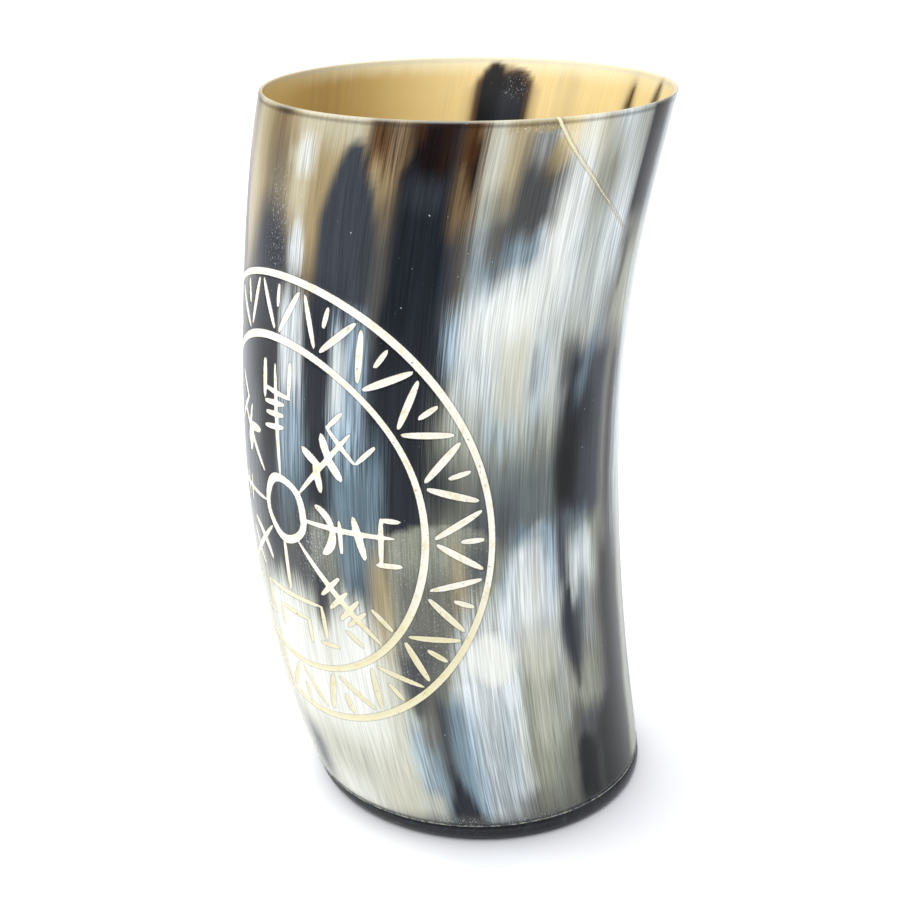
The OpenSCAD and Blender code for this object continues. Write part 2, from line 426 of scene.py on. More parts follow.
    Streak("silver", 48.6, -20, 58, 9, 3.4, 0.9, fade=8),
    Streak("teal", 49, 6, 34, 7, 5, 0.28, fade=10),
    Streak("teal", 52, 20, 41, 1.6, 2.4, 0.3, fade=8),
    Streak("milk", 57.2, 16, 36, 0.9, 1.4, 0.6, fade=8),
    Streak("smoke", 56, -20, 13, 4.2, 3, 0.7, fade=4),
    # Behind the roundel's lower half
    Streak("teal", 14.5, 64, 92, 7.5, 4, 0.9, fade=9),
    # Painted reflection: a bluish-white patch on the roundel, from a second bright light
    Streak("sky", 11, 91, 114, 4.8, 2.4, 0.9, fade=7),
    Streak("milk", 8, 98, 112, 2.0, 2.0, 0.6, fade=6),
    Streak("slate", -1, 60, 78, 8, 6, 0.8),
    Streak("smoke", -9, 62, 74, 4, 5, 0.5),
    Streak("olive", 3.5, 60, 77, 5, 4, 0.55, fade=5),
    # Painted reflection: a brown-grey patch whose sharp arched top near 79 mm is the floor's edge
    Streak("olive", 38, 44, 79, 15.5, 3.0, 0.75, 3.5, fade=0.6, ragged=0.1),
    Streak("smoke", 35, 49, 69, 10, 6, 0.8, fade=6),
    Streak("smoke", 33, 40, 54, 5, 4, 0.5, fade=6),
    Streak("slate", 29, 42, 54, 7, 5, 0.6, fade=6),
    Streak("slate", 49.5, 66, 76, 4, 3, 0.8, fade=5),
    Streak("tan", 20.5, 46, 73, 3, 3, 0.8, fade=10),
    Streak("tan", 43, 60, 74, 2, 2.4, 0.6, fade=7),
    Streak("silver", 45.5, 36, 60, 4.4, 4, 0.85, lean=0.25, fade=9),
    # The pale foot under the roundel, whitest where a reflection of the bright floor is painted in
    Streak("cream", -3, -20, 50, 26, 8, 0.95, fade=12),
    # Painted reflection: the washed-out white glare of the bright floor, as milk-white horn
    Streak("milk", -2, 24, 55, 22, 8, 0.5, fade=12),
    Streak("milk", -3, 26, 56, 17, 9, 0.6, fade=10),
    Streak("milk", -16, 30, 58, 10, 5, 0.85, fade=8, ragged=0.8),
    Streak("milk", 10, 40, 60, 5.4, 4, 0.85, fade=7, ragged=0.8),
    Streak("milk", -4, 2, 16, 11, 8, 0.65, fade=8),
    Streak("navy", 0.5, 52, 66, 2.4, 2.6, 0.95, 0, 6, fade=4),
    Streak("smoke", -29, 4, 27, 7, 9, 0.5, fade=9),
    Streak("olive", -2, 13, 26, 9, 7, 0.35, fade=7),
    Streak("slate", -21, 8, 22, 5.5, 7, 1.0, fade=7),
    Streak("sky", 26.4, -20, 33, 3.4, 2.4, 0.8, fade=6),
    Streak("cream", 26, 5, 14.5, 4, 2.6, 0.7, fade=3),
    Streak("smoke", 30.6, 26, 44, 3.8, 2.6, 0.75, fade=5),
    Streak("slate", 26.8, 35, 50, 3.2, 2.4, 0.8, 0, 7, fade=3),
    Streak("teal", 31, 4, 27, 2, 2, 0.8, fade=6),
    Streak("sky", 41, -20, 36, 2.6, 2.4, 0.8, fade=7),
    Streak("teal", 37.2, -20, 40, 2.8, 2, 0.95, fade=5),
    Streak("slate", 33.5, 18, 41, 1.8, 1.8, 0.9, fade=5),
    Streak("navy", 36.2, -20, 23, 4.8, 1.6, 1.0, 15, lean=-0.13, fade=1.6, taper=0.9),
    # Painted highlight: a white glare spot
    Streak("milk", 51, 42.5, 56, 7.5, 4, 1.0, 6.6, 6.6, fade=2.6, ragged=0.1),
    # The hazy lower edge
    Streak("smoke", 45, -20, 8.0, 30, 14, 0.55, fade=2.6, ragged=0.2),
    Streak("slate", 0, -20, 5.9, 180, 1, 0.85, fade=1.2, ragged=0.05),
    # The far lip, where light comes through
    Streak("honey", 205, 149.2, 190, 75, 30, 0.8, fade=0.6, ragged=0.1),
    # The side away from the roundel
    Streak("tan", 150, 96, 190, 20, 10, 0.8, fade=26),
    Streak("cream", 178, 70, 190, 14, 10, 0.7, fade=24),
    Streak("tan", 238, 92, 190, 18, 12, 0.75, fade=24),
    Streak("cream", 268, 84, 190, 16, 12, 0.7, fade=24),
    Streak("tan", 300, 104, 190, 18, 10, 0.8, fade=24),
    Streak("cream", 138, -20, 52, 14, 9, 0.8, fade=18),
    Streak("milk", 196, -20, 44, 10, 7, 0.8, fade=14),
    Streak("cream", 317, -20, 66, 16, 10, 0.8, fade=22),
    Streak("silver", 113, 76, 190, 9, 6, 0.8, fade=24),
    Streak("silver", 168, 16, 98, 10, 5, 0.9, fade=14, ragged=0.8),
    Streak("silver", 222, 66, 136, 8, 4, 0.9, 16, 16, fade=10, ragged=0.8),
    Streak("silver", 250, -20, 62, 10, 5, 0.85, fade=12, ragged=0.8),
    Streak("silver", 281, 28, 92, 8, 4, 0.85, 16, 16, fade=10, ragged=0.8),
    Streak("smoke", 130, 48, 96, 7, 6, 0.8, fade=12),
    Streak("smoke", 186, 56, 86, 10, 7, 0.7, fade=10),
    Streak("smoke", 238, 46, 96, 9, 7, 0.8, fade=12),
    Streak("smoke", 303, 60, 116, 14, 8, 0.85, fade=12),
    Streak("slate", 322, 70, 112, 10, 8, 0.9, fade=12),
    Streak("sky", 206, 84, 124, 3.6, 3, 0.6, 16, 16),
    Streak("teal", 246, 50, 92, 4, 3, 0.6, 16, 16),
    Streak("sky", 159, 34, 76, 2.6, 2.4, 0.6, 16, 16),
    Streak("navy", 122, 8, 118, 7, 3, 0.95, 40, 24, ragged=0.6),
    Streak("slate", 129, 18, 70, 3, 2.4, 0.8, 16, 16),
    Streak("bark", 135, 92, 190, 5, 3, 0.7, 0, 34),
    Streak("umber", 135, 100, 149.5, 3, 2, 0.9, 8, 30, fade=3),
    Streak("chestnut", 150, 116, 148.5, 2.4, 1.8, 0.8, 8, 20, fade=3),
    Streak("bark", 197, 78, 190, 11.5, 4, 0.7, 0, 50, taper=0.7),
    Streak("navy", 197, 40, 146, 8.6, 2.4, 1.0, 12, 50, fade=2, taper=0.6, ragged=0.1),
    Streak("umber", 199, 132, 148.6, 5, 2.6, 0.9, 6, 12, fade=2),
    Streak("smoke", 178, 92, 140, 3.4, 3, 0.7, 20, 20),
    Streak("navy", 214, -20, 78, 6.4, 2.6, 0.95, 26, fade=4, ragged=0.6),
    Streak("slate", 221, -20, 56, 4, 3, 0.85, 20, fade=4),
    Streak("bark", 259, 80, 190, 11, 4, 0.65, 0, 44, taper=0.7),
    Streak("navy", 256, 54, 136, 7.6, 2.4, 1.0, 22, 40, fade=3, ragged=0.3),
    Streak("navy", 266, 70, 118, 4.6, 2.4, 0.9, 24, 20, fade=4, ragged=0.4),
    Streak("umber", 258, 130, 190, 3.6, 2.4, 0.8, 0, 18, fade=4),
    Streak("navy", 291, -20, 96, 7.4, 2.8, 0.95, 34, fade=4, ragged=0.6),
    Streak("smoke", 272, -20, 40, 5, 4, 0.7, 20),
    Streak("chestnut", 314, 120, 190, 7, 3, 0.6, 0, 24),
    Streak("navy", 313, 84, 141, 7, 2.4, 1.0, 18, 24, fade=3, ragged=0.2),
]
INSIDE = [
    Streak("honey", 0, -20, 190, 180, 1),
    Streak("ochre", 258, 60, 190, 22, 34, 1.0, fade=30),
    Streak("tan", 175, 70, 190, 2.5, 5, 0.3, 0, 50, fade=20),
    Streak("tan", 150, 60, 190, 3, 6, 0.25, fade=20),
    # Painted glow: light coming through the thin horn under the far lip
    Streak("butter", 205, 147.6, 190, 60, 60, 0.8, fade=2.4, ragged=0.1),
    Streak("silver", 70, 30, 150, 14, 8, 0.5, fade=24),
    Streak("smoke", 20, 20, 144, 26, 12, 0.5, fade=20),
    Streak("umber", 90, 0, 120, 8, 6, 0.7, 40),
    Streak("umber", 300, 0, 110, 9, 6, 0.6, 40),
    Streak("navy", 20, 20, 140, 14, 8, 0.8, 30),
    Streak("navy", 330, 10, 110, 10, 6, 0.75, 40),
    Streak("navy", 250, 0, 84, 9, 6, 0.7, 40),
    # The flame under the far rim
    Streak("bark", 197.5, 12, 148.5, 11, 3, 0.5, 5, 80, fade=0.8, ragged=0.05),
    Streak("chestnut", 201.6, 28, 149.2, 5.2, 1.4, 0.95, 4, 70, fade=0.6, ragged=0.05),
    Streak("chestnut", 194.0, 22, 148.0, 5.4, 1.4, 0.95, 3, 70, fade=0.6, ragged=0.1),
    Streak("umber", 201.5, 36, 148.7, 4.2, 1.4, 1.0, 4, 60, fade=0.6, ragged=0.05),
    Streak("umber", 194.6, 30, 146.9, 4.2, 1.4, 1.0, 3, 60, fade=0.6, ragged=0.1),
    Streak("black", 199.5, 24, 146.0, 4.6, 2.0, 1.0, 4, 50, fade=2, ragged=0.2),
    Streak("navy", 195, 30, 144.0, 4.0, 2.0, 0.9, 3, 50, fade=2, ragged=0.2),
    Streak("bark", 135, 100, 150, 3.6, 2.5, 0.6, 6, ragged=0.2),
    Streak("umber", 134.8, 104, 149.5, 2.0, 1.2, 0.8, 5, fade=2, ragged=0.2),
    Streak("bark", 150, 120, 149, 2.4, 2, 0.6, 6, ragged=0.2),
    Streak("chestnut", 149.6, 128, 147.8, 1.6, 0.9, 0.95, 5, fade=2, ragged=0.2),
]
# Where pale dust and fine scratches show: the paint named in these has no effect
DUSTY = [
    Streak("silver", -18, 122, 139, 4.5, 4, 0.65, fade=6),
    Streak("silver", -1, 64, 77, 5, 4, 1.0, fade=5),
    Streak("silver", 38, 44, 78, 15, 4, 0.35, fade=3),
    Streak("silver", 44, -20, 7.4, 24, 8, 0.9, fade=1.5, ragged=0.1),
    Streak("silver", 194.5, 142, 147, 3.5, 2, 0.6, fade=2),
    Streak("gold", 52, 147.4, 149.6, 8, 3, 1.0, fade=0.6, ragged=0.0),
]


def ring_noise(around, count, seed):
    """Smooth random numbers round the cup, from -1 to 1, with count bumps in a turn."""
    hand = random.Random(seed)
    bumps = np.array([hand.uniform(-1, 1) for _ in range(count)])
    place = (around % 360.0) / 360.0 * count
    low = np.floor(place).astype(int)
    part = smooth_step(place - low)
    return bumps[low % count] * (1 - part) + bumps[(low + 1) % count] * part


def stray_fibres(count=150, seed=11):
    """Many faint streaks, spread at random over the whole cup."""
    hand = random.Random(seed)
    streaks = []
    for _ in range(count):
        low = hand.uniform(-20, 140)
        streaks.append(Streak(
            paint=hand.choice(("silver", "cream", "smoke", "olive", "sky")),
            around=hand.uniform(0, 360),
            low=low,
            high=low + hand.uniform(18, 60),
            half=hand.uniform(0.6, 2.0),
            soft=hand.uniform(1.2, 2.4),
            strength=hand.uniform(0.06, 0.24),
            fade=hand.uniform(8, 20),
        ))
    return streaks


def paint_places(looks, streaks, strays, around, up):
    """The fibre colour and the shadow colour of each place."""
    stray = 2.4 * ring_noise(around, count=230, seed=3) + 1.6 * ring_noise(around, count=97, seed=5)
    wander = 0.5 * ring_noise(up * 2.4, count=17, seed=8)
    fibre = np.tile(looks.olive, (len(up), 1))
    shadow = fibre * (1.0 - PAINTS["olive"])
    marked = [(streak, False) for streak in streaks] + [(streak, True) for streak in strays]
    for streak, is_stray in marked:
        cover = streak.cover(around + wander, up, stray)
        strength = np.full_like(up, streak.strength)
        if is_stray:
            # A stray fibre shows only where fibre and shadow differ, so not on dark horn
            strength *= np.clip(6.0 * (fibre - shadow).mean(axis=1) - 0.2, 0.0, 1.0)
        colour = np.array(getattr(looks, streak.paint))
        darker = PAINTS[streak.paint]
        # Pale fibres run on into the dark, and the gaps between them stay dark for longer
        feather = 1.0 + 2.0 * darker if colour.mean() > PALE else 1.0
        on_fibre, on_shadow = strength * cover ** (1.0 / feather), strength * cover ** feather
        fibre += (colour - fibre) * on_fibre[:, None]
        shadow += (colour * (1.0 - darker) - shadow) * on_shadow[:, None]
    return fibre, shadow


# The carved roundel

# The depth, in mm, of a place that is nowhere near a cut
FAR_OUT = -5.0
# How a stroke narrows to its ends: 0 for square ends, 1 for long points
NARROWING = 0.4


class Cut(NamedTuple):
    """A gouge stroke in mm: distances out from the roundel's centre, and across the arm."""
    out_a: float
    across_a: float
    out_b: float
    across_b: float
    half: float = 0.5         # half its width in the middle
    bend: float = 0.0         # how far the middle is pushed across


def ticks(first, gap, count, reach, lean=0.6):
    """A ladder of short strokes across an arm."""
    return [Cut(first + gap * i, -reach, first + gap * i - lean, reach) for i in range(count)]


def fork(bar, tip, reach, past=0.5, prong=0.55):
    """A bar across the arm and a prong near each of its ends, cut unevenly as by hand."""
    return [Cut(bar, -reach - past, bar, reach + past),
            Cut(bar - 0.6, -reach, tip, -reach, prong),
            Cut(bar - 0.2, reach, tip + 0.8, reach, prong)]


# Eight arms by their bearing, in degrees clockwise from the top
ARMS = {
    0: [Cut(7.6, 1.2, 29.4, -0.4, 0.6), Cut(16.4, -4.0, 17.5, 2.8, 0.55),
        Cut(19.2, -3.6, 19.8, 2.8, 0.55), Cut(21.3, -4.1, 22.0, 3.0, 0.55),
        Cut(24.1, -4.3, 23.5, 4.9), Cut(21.8, -4.0, 29.8, -4.0, 0.75),
        Cut(23.3, 4.1, 30.7, 4.4, 0.6)],
    45: [Cut(8.6, 0.9, 27.7, -0.3, 0.55), Cut(16.2, -5.2, 17.5, 0.4, 0.85),
         Cut(17.2, -1.4, 13.9, 3.9, 0.85), Cut(22.2, -4.3, 20.2, 0.3, 0.9),
         Cut(20.3, -0.9, 19.6, 5.1, 0.9), Cut(24.2, -4.6, 24.2, 4.6),
         Cut(24.2, -4.2, 29.0, -4.2), Cut(24.3, 4.5, 30.1, 4.6)],
    90: [Cut(6.6, -0.3, 28.2, -0.3, 0.55), Cut(10.9, -4.3, 15.2, 0.0, 0.8, -0.7),
         Cut(15.0, -0.4, 12.3, 5.7, 0.95, -0.9), Cut(16.6, -2.4, 16.8, 4.8),
         Cut(19.6, -3.7, 21.9, 5.0, 0.85), Cut(25.4, -4.3, 25.1, 5.8, 0.55),
         Cut(25.2, -3.8, 29.2, -3.7), Cut(24.0, 5.5, 29.4, 5.4, 0.55)],
    135: [Cut(7.3, -0.7, 33.2, -0.1, 0.7), Cut(18.1, -4.2, 18.2, 3.1, 0.55),
          Cut(21.2, -3.2, 21.2, 3.6, 0.55), Cut(23.8, -4.0, 24.2, 3.4, 0.55),
          Cut(26.4, -3.2, 26.1, 2.8), Cut(26.4, -4.8, 32.6, -4.5, 0.55),
          Cut(26.4, 4.0, 31.3, 3.7)],
    180: [Cut(5.4, -1.2, 17.0, -1.4, 0.6), Cut(18.2, 8.2, 17.8, -10.4, 0.55),
          Cut(17.6, -10.3, 25.4, -10.6, 0.55), Cut(17.8, 8.0, 25.4, 8.2),
          Cut(22.0, -6.2, 22.0, 3.8), Cut(21.8, -6.0, 27.6, -6.0), Cut(21.8, 3.6, 27.6, 3.8),
          Cut(26.4, -8.6, 26.3, -13.6), Cut(25.6, 6.4, 25.8, 11.4)],
    225: [Cut(5.2, -1.0, 27.6, -0.2, 0.6), Cut(11.7, -5.7, 12.5, 4.6, 0.85, 1.0),
          Cut(17.4, -4.6, 15.8, 4.6, 0.6), *fork(23.4, 28.8, 4.3)],
    270: [Cut(4.6, 0.6, 28.4, 0.3, 0.55), *ticks(13.4, 2.6, 3, 3.2),
          Cut(22.0, -5.2, 23.0, 5.2, 0.8, 1.6), Cut(27.0, -3.4, 26.8, 3.4)],
    315: [Cut(8.0, 1.3, 24.0, 1.0, 0.65), Cut(14.6, 5.9, 18.7, 1.0, 0.85),
          Cut(16.8, 2.4, 14.6, -2.6, 0.85), Cut(20.5, 5.6, 16.2, -2.4, 0.6),
          *fork(22.6, 28.0, 4.6)],
}


def all_cuts(carving):
    """Every stroke of the roundel as two ends in mm, a half width and a bend."""
    strokes = []
    for bearing, cuts in ARMS.items():
        out = np.array([math.sin(math.radians(bearing)), math.cos(math.radians(bearing))])
        across = np.array([out[1], -out[0]])
        for cut in cuts:
            strokes.append((out * cut.out_a + across * cut.across_a,
                            out * cut.out_b + across * cut.across_b, cut.half, cut.bend))
    return strokes + border_cuts(carving)


def border_cuts(carving):
    """A plain zigzag between the two rings, with a short leaf nested in every corner."""
    hand = random.Random(4)
    inner, outer = carving.inner_ring / MM, carving.outer_ring / MM
    widest = carving.leaf_cut / MM / 2
    low_share, high_share, gap_share = 0.14, 0.88, 0.06
    long_widths, short_widths = (0.8, 1.0), (0.7, 0.95)
    low = inner + (outer - inner) * low_share
    high = inner + (outer - inner) * high_share
    turn = 2 * math.pi / carving.border_turns
    gap = turn * gap_share
    stray = 0.25

    def place(radius, bearing):
        return np.array([radius * math.sin(bearing) + hand.uniform(-stray, stray),
                         radius * math.cos(bearing) + hand.uniform(-stray, stray)])

    strokes = []
    for k in range(carving.border_turns):
        start = k * turn
        rising = (place(low, start + gap), place(high, start + turn / 2 - gap))
        falling = (place(high, start + turn / 2 + gap), place(low, start + turn - gap))
        strokes += [(*rising, widest * hand.uniform(*long_widths), 0.0),
                    (*falling, widest * hand.uniform(*long_widths), 0.0)]
        strokes.append((place(high, start), place((low + high) / 2, start),
                        widest * hand.uniform(*short_widths), 0.0))
    return strokes


def depth_into_cuts(carving, right, up):
    """How far each place lies inside a stroke, in mm, and below zero how far outside."""
    best = np.full_like(right, FAR_OUT)
    rings = ((carving.outer_ring, carving.ring_cut, 0.0, 0.0),
             (carving.inner_ring, carving.ring_cut, 0.0, 0.0),
             (carving.hub_ring, carving.hub_cut, carving.hub_right, carving.hub_rise))
    for k, (ring, groove, aside, rise) in enumerate(rings):
        radius = np.hypot(right - aside / MM, up - rise / MM)
        bearing = np.arctan2(right - aside / MM, up - rise / MM)
        # A ring cut by hand wanders a little, and its groove swells here and there
        wander = 0.22 * np.sin(2 * bearing + k) + 0.12 * np.sin(5 * bearing + 2 * k)
        swell = 0.08 * np.sin(3 * bearing + 2 * k)
        best = np.maximum(best, groove / MM / 2 + swell - np.abs(radius - ring / MM - wander))
    for start, end, half, bend in all_cuts(carving):
        run = end - start
        size = np.hypot(*run)
        run = run / size
        along = ((right - start[0]) * run[0] + (up - start[1]) * run[1]) / size
        across = (right - start[0]) * run[1] - (up - start[1]) * run[0]
        held = np.clip(along, 0.0, 1.0)
        bow = 4 * held * (1 - held)
        past = (along - held) * size
        inside = half * bow ** NARROWING - np.hypot(across - bend * bow, past)
        best = np.maximum(best, inside)
    return best


# The filled crack, in degrees from -Y towards +X and heights in mm
CRACK = ((56.6, 150.0), (59.0, 147.9), (61.5, 145.8), (65.0, 143.3), (68.4, 141.1), (72.0, 138.9),
         (75.5, 136.7), (80.0, 134.2), (84.0, 132.0), (88.0, 129.8), (90.5, 128.4))


def depth_into_crack(crack, shape, around, up):
    """How far each place lies inside the crack, in mm, and below zero how far outside."""
    pace = math.radians(1.0) * float(shape.width_at(CRACK[0][1]))
    corners = np.array(CRACK) * (pace, 1.0)
    across = around * pace + crack.stray / MM * ring_noise(up * 9.0, count=61, seed=2)
    run = np.linspace(crack.start, crack.end, len(CRACK)) / MM / 2
    best = np.full_like(up, FAR_OUT)
    for i, (start, end) in enumerate(zip(corners, corners[1:])):
        leg = end - start
        share = ((across - start[0]) * leg[0] + (up - start[1]) * leg[1]) / (leg @ leg)
        share = np.clip(share, 0.0, 1.0)
        off = np.hypot(across - start[0] - share * leg[0], up - start[1] - share * leg[1])
        best = np.maximum(best, run[i] + (run[i + 1] - run[i]) * share - off)
    return best


# Meshes

def new_piece(name, mesh, node, finish):
    """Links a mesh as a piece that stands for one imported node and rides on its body."""
    piece = bpy.data.objects.new(name, mesh)
    bpy.context.scene.collection.objects.link(piece)
    mesh.materials.append(finish)
    for face in mesh.polygons:
        face.use_smooth = True
    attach(piece, "root")
    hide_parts(node)


def get_points(mesh):
    """Every point of a mesh, in metres."""
    points = np.empty(len(mesh.vertices) * 3)
    mesh.vertices.foreach_get("co", points)
    return points.reshape(-1, 3)


def set_points(mesh, points):
    """Moves every point of a mesh to its new place, in metres."""
    mesh.vertices.foreach_set("co", points.ravel())


def set_numbers(mesh, name, values):
    """Stores one number for every point of a mesh."""
    mesh.attributes.new(name, "FLOAT", "POINT")
    mesh.attributes[name].data.foreach_set("value", np.ascontiguousarray(values, dtype=np.float32))


def set_vectors(mesh, name, values):
    """Stores one vector for every point of a mesh."""
    mesh.attributes.new(name, "FLOAT_VECTOR", "POINT")
    flat = np.ascontiguousarray(values, dtype=np.float32).ravel()
    mesh.attributes[name].data.foreach_set("vector", flat)


def get_numbers(mesh, name):
    """Reads back one number for every point of a mesh."""
    values = np.empty(len(mesh.vertices), dtype=np.float32)
    mesh.attributes[name].data.foreach_get("value", values)
    return values.astype(float)


def straight_grain(around, up, radius=37.5):
    """Where each place would lie, in mm, were the horn a straight cylinder."""
    turn = np.radians(around)
    return np.stack([radius * np.sin(turn), -radius * np.cos(turn), up], axis=-1)


def flat_sheet(columns, rows):
    """A grid in the plane whose x are the columns and y the rows."""
    form = bmesh.new()
    points = [[form.verts.new((x, y, 0.0)) for x in columns] for y in rows]
    for low, high in zip(points, points[1:]):
        for a, b, c, d in zip(low, low[1:], high[1:], high):
            form.faces.new((a, b, c, d))
    return form


@contextmanager
def opened(mesh):
    """Lends a mesh for editing, then turns its faces outwards and closes it again."""
    form = bmesh.new()
    form.from_mesh(mesh)
    yield form
    bmesh.ops.recalc_face_normals(form, faces=form.faces)
    form.to_mesh(mesh)
    form.free()


def wrap_sheet(name, form, place, gap=0.002):
    """Turns a flat sheet into a closed mesh: place gives each (x, y) its point in mm."""
    mesh = bpy.data.meshes.new(name)
    form.to_mesh(mesh)
    form.free()
    x, y = get_points(mesh)[:, :2].T
    set_numbers(mesh, "around", x)
    set_numbers(mesh, "along", y)
    set_points(mesh, place(x, y) * MM)
    with opened(mesh) as form:
        bmesh.ops.remove_doubles(form, verts=form.verts, dist=gap * MM)
    return mesh


def close_rims(mesh):
    """Fills the open ends of a wrapped sheet."""
    with opened(mesh) as form:
        rims = [edge for edge in form.edges if edge.is_boundary]
        bmesh.ops.holes_fill(form, edges=rims, sides=0)


def store_places(mesh):
    """Stores each point's own place in mm as its grain."""
    set_vectors(mesh, "grain", get_points(mesh) / MM)


class Profile:
    """A closed outline of (inset, height) points that sheets are wrapped round the cup on."""

    def __init__(self, points):
        self.inset, self.up = np.array(points, dtype=float).T
        steps = np.hypot(np.diff(self.inset), np.diff(self.up))
        self.along = np.concatenate([[0.0], np.cumsum(steps)])

    def place(self, shape):
        """A function that puts sheet places on the cup's surface."""
        def put(around, along):
            inset = np.interp(along, self.along, self.inset)
            return shape.at(around, np.interp(along, self.along, self.up), inset)
        return put


def even(start, end, pace):
    """Evenly spaced values from start to end, about one pace apart, without the end."""
    count = max(1, round(abs(end - start) / pace))
    return list(np.linspace(start, end, count + 1)[:-1])


def whole_turn(columns):
    """Angles in degrees once round the cup, for a sheet with that many columns of cells."""
    return np.linspace(-180.0, 180.0, columns + 1)


def span(node):
    """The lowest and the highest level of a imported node, in mm."""
    return [corner[2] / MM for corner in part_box(node)]


class WallSheet:
    """The horn's flat sheet: it runs up the outside, over the lip and down the inside."""

    SIDE_PACE = 1.15          # mm between the columns of the mesh
    UP_PACE = 1.15            # mm between its rows outside
    LIP_STEPS = 8             # rows over the rounded lip
    RIM_PACE = 0.6            # mm between the rows just inside the rim
    RIM_REACH = 10.0          # how far down inside they go, in mm
    INNER_PACE = 4.0          # mm between its rows inside and under the foot
    INNER_STEPS = 39          # straight steps of the outline down the inside
    CUT_STEPS = 2             # extra cuts across a cell at the carving or the crack
    NEAR = 0.75               # how near these a cell is to be divided, in mm
    MARGIN = 2.0              # how far past the outer ring the carving reaches at most, in mm
    HALF_SWEEP = 95           # and how far round the cup to each side, in degrees
    OVER_LIP = 1.2            # how far the crack runs on over the lip, in mm
    SLOPE = 0.6               # depth of a cut for each mm in from its edge
    STAIN_TOP = 68            # height below which the carving is yellowed, in mm
    STAIN_FADE = 14           # and the height over which that sets in
    TAKEOVER = 0.3            # share of the lip after which the inside's colours set in
    LIP_LOOK = 6.0            # how far from the lip's start its distance is stored, in mm
    SEAM = 0.01               # how near the outline's end a point counts as its start, in mm

    def __init__(self, shape, carving, crack):
        self.shape = shape
        self.carving = carving
        self.crack = crack
        lip_radius = shape.wall_at(shape.lip) / 2
        lip_up = shape.top - lip_radius - shape.CLEAR
        over = [(lip_radius * (1 - math.cos(turn)), lip_up + lip_radius * math.sin(turn))
                for turn in np.linspace(0, math.pi, self.LIP_STEPS + 1)]
        down = np.linspace(lip_up, shape.foot, self.INNER_STEPS + 1)[1:]
        inside = [(float(shape.wall_at(up)), up) for up in down]
        self.profile = Profile([(0.0, shape.foot), *over, *inside, (0.0, shape.foot)])
        self.lip_start = self.profile.along[1]
        self.lip_end = self.profile.along[len(over)]

    def divided(self):
        """The flat sheet, divided more finely where the carving and the crack lie."""
        girth = 2 * math.pi * float(self.shape.width_at(self.shape.top / 2))
        way = self.profile.along
        rim_end = self.lip_end + self.RIM_REACH
        rows = [*even(0.0, self.lip_start, self.UP_PACE), *way[1:self.LIP_STEPS + 1],
                *even(self.lip_end, rim_end, self.RIM_PACE),
                *even(rim_end, way[-2], self.INNER_PACE),
                *even(way[-2], way[-1], self.INNER_PACE), way[-1]]
        form = flat_sheet(whole_turn(round(girth / self.SIDE_PACE)), rows)
        around, along = np.array([point.co[:2] for point in form.verts]).T
        deepest = np.maximum(self.cut_at(around, along), self.crack_at(around, along))
        for point, depth in zip(form.verts, deepest):
            point.tag = bool(depth > -self.NEAR)
        edges = [edge for edge in form.edges if any(point.tag for point in edge.verts)]
        bmesh.ops.subdivide_edges(form, edges=edges, cuts=self.CUT_STEPS, use_grid_fill=True)
        return form

    def cut_at(self, around, along):
        """Depth into the carving at sheet places, well below zero where there is none."""
        centre_around = math.degrees(self.carving.around)
        centre_up = self.carving.up / MM
        reach = self.carving.outer_ring / MM + self.MARGIN
        up = self.shape.foot + along
        cut = np.full_like(around, FAR_OUT)
        near = (along < self.lip_start) & (np.abs(up - centre_up) < reach)
        near &= np.abs(around - centre_around) < self.HALF_SWEEP
        right = self.shape.arc(centre_around, around[near], up[near])
        rise = self.shape.climb(centre_around, centre_up, up[near])
        cut[near] = depth_into_cuts(self.carving, right, rise)
        return cut

    def crack_at(self, around, along):
        """Depth into the crack at sheet places outside, well below zero elsewhere."""
        split = np.full_like(around, FAR_OUT)
        outside = along <= self.lip_start + self.OVER_LIP
        split[outside] = depth_into_crack(self.crack, self.shape, around[outside],
                                          self.shape.foot + along[outside])
        return split

    def places(self, mesh):
        """Each point's angle and its way along the profile, whose end is its start again."""
        along = get_numbers(mesh, "along")
        at_end = along > self.profile.along[-1] - self.SEAM
        return get_numbers(mesh, "around"), np.where(at_end, 0.0, along)

    def carve(self, mesh):
        """Presses the strokes into the outside and stores how deep each point lies in one."""
        around, along = self.places(mesh)
        up = self.shape.foot + along
        cut = self.cut_at(around, along)
        set_numbers(mesh, "cut", cut)
        stained = (self.STAIN_TOP - self.shape.foot - along) / self.STAIN_FADE
        set_numbers(mesh, "handled", smooth_step(stained))
        set_numbers(mesh, "crack", self.crack_at(around, along))
        hit = cut > 0
        sink = np.minimum(cut[hit] * self.SLOPE, self.carving.depth / MM)[:, None]
        points = get_points(mesh)
        points[hit] -= self.shape.outward(around[hit], up[hit]) * sink * MM
        set_points(mesh, points)

    def colour(self, mesh, looks):
        """Stores the grain and the painted colours on the mesh."""
        around, along = self.places(mesh)
        up = np.interp(along, self.profile.along, self.profile.up)
        set_vectors(mesh, "grain", straight_grain(around, up))
        outer = paint_places(looks, OUTSIDE, stray_fibres(), around, up)
        inner = paint_places(looks, INSIDE, [], around, up)
        over = (along - self.lip_start) / (self.lip_end - self.lip_start)
        inside = smooth_step((over - self.TAKEOVER) / self.TAKEOVER)
        for name, out, within in zip(("fibre", "shadow"), outer, inner):
            set_vectors(mesh, name, out + (within - out) * inside[:, None])
        spots = [streak.strength * streak.cover(around, up, 0 * up) for streak in DUSTY]
        set_numbers(mesh, "dusty", np.max(spots, axis=0))
        below = np.clip(self.lip_start - along, -self.LIP_LOOK, self.LIP_LOOK)
        set_numbers(mesh, "below_lip", below)


# Finishes

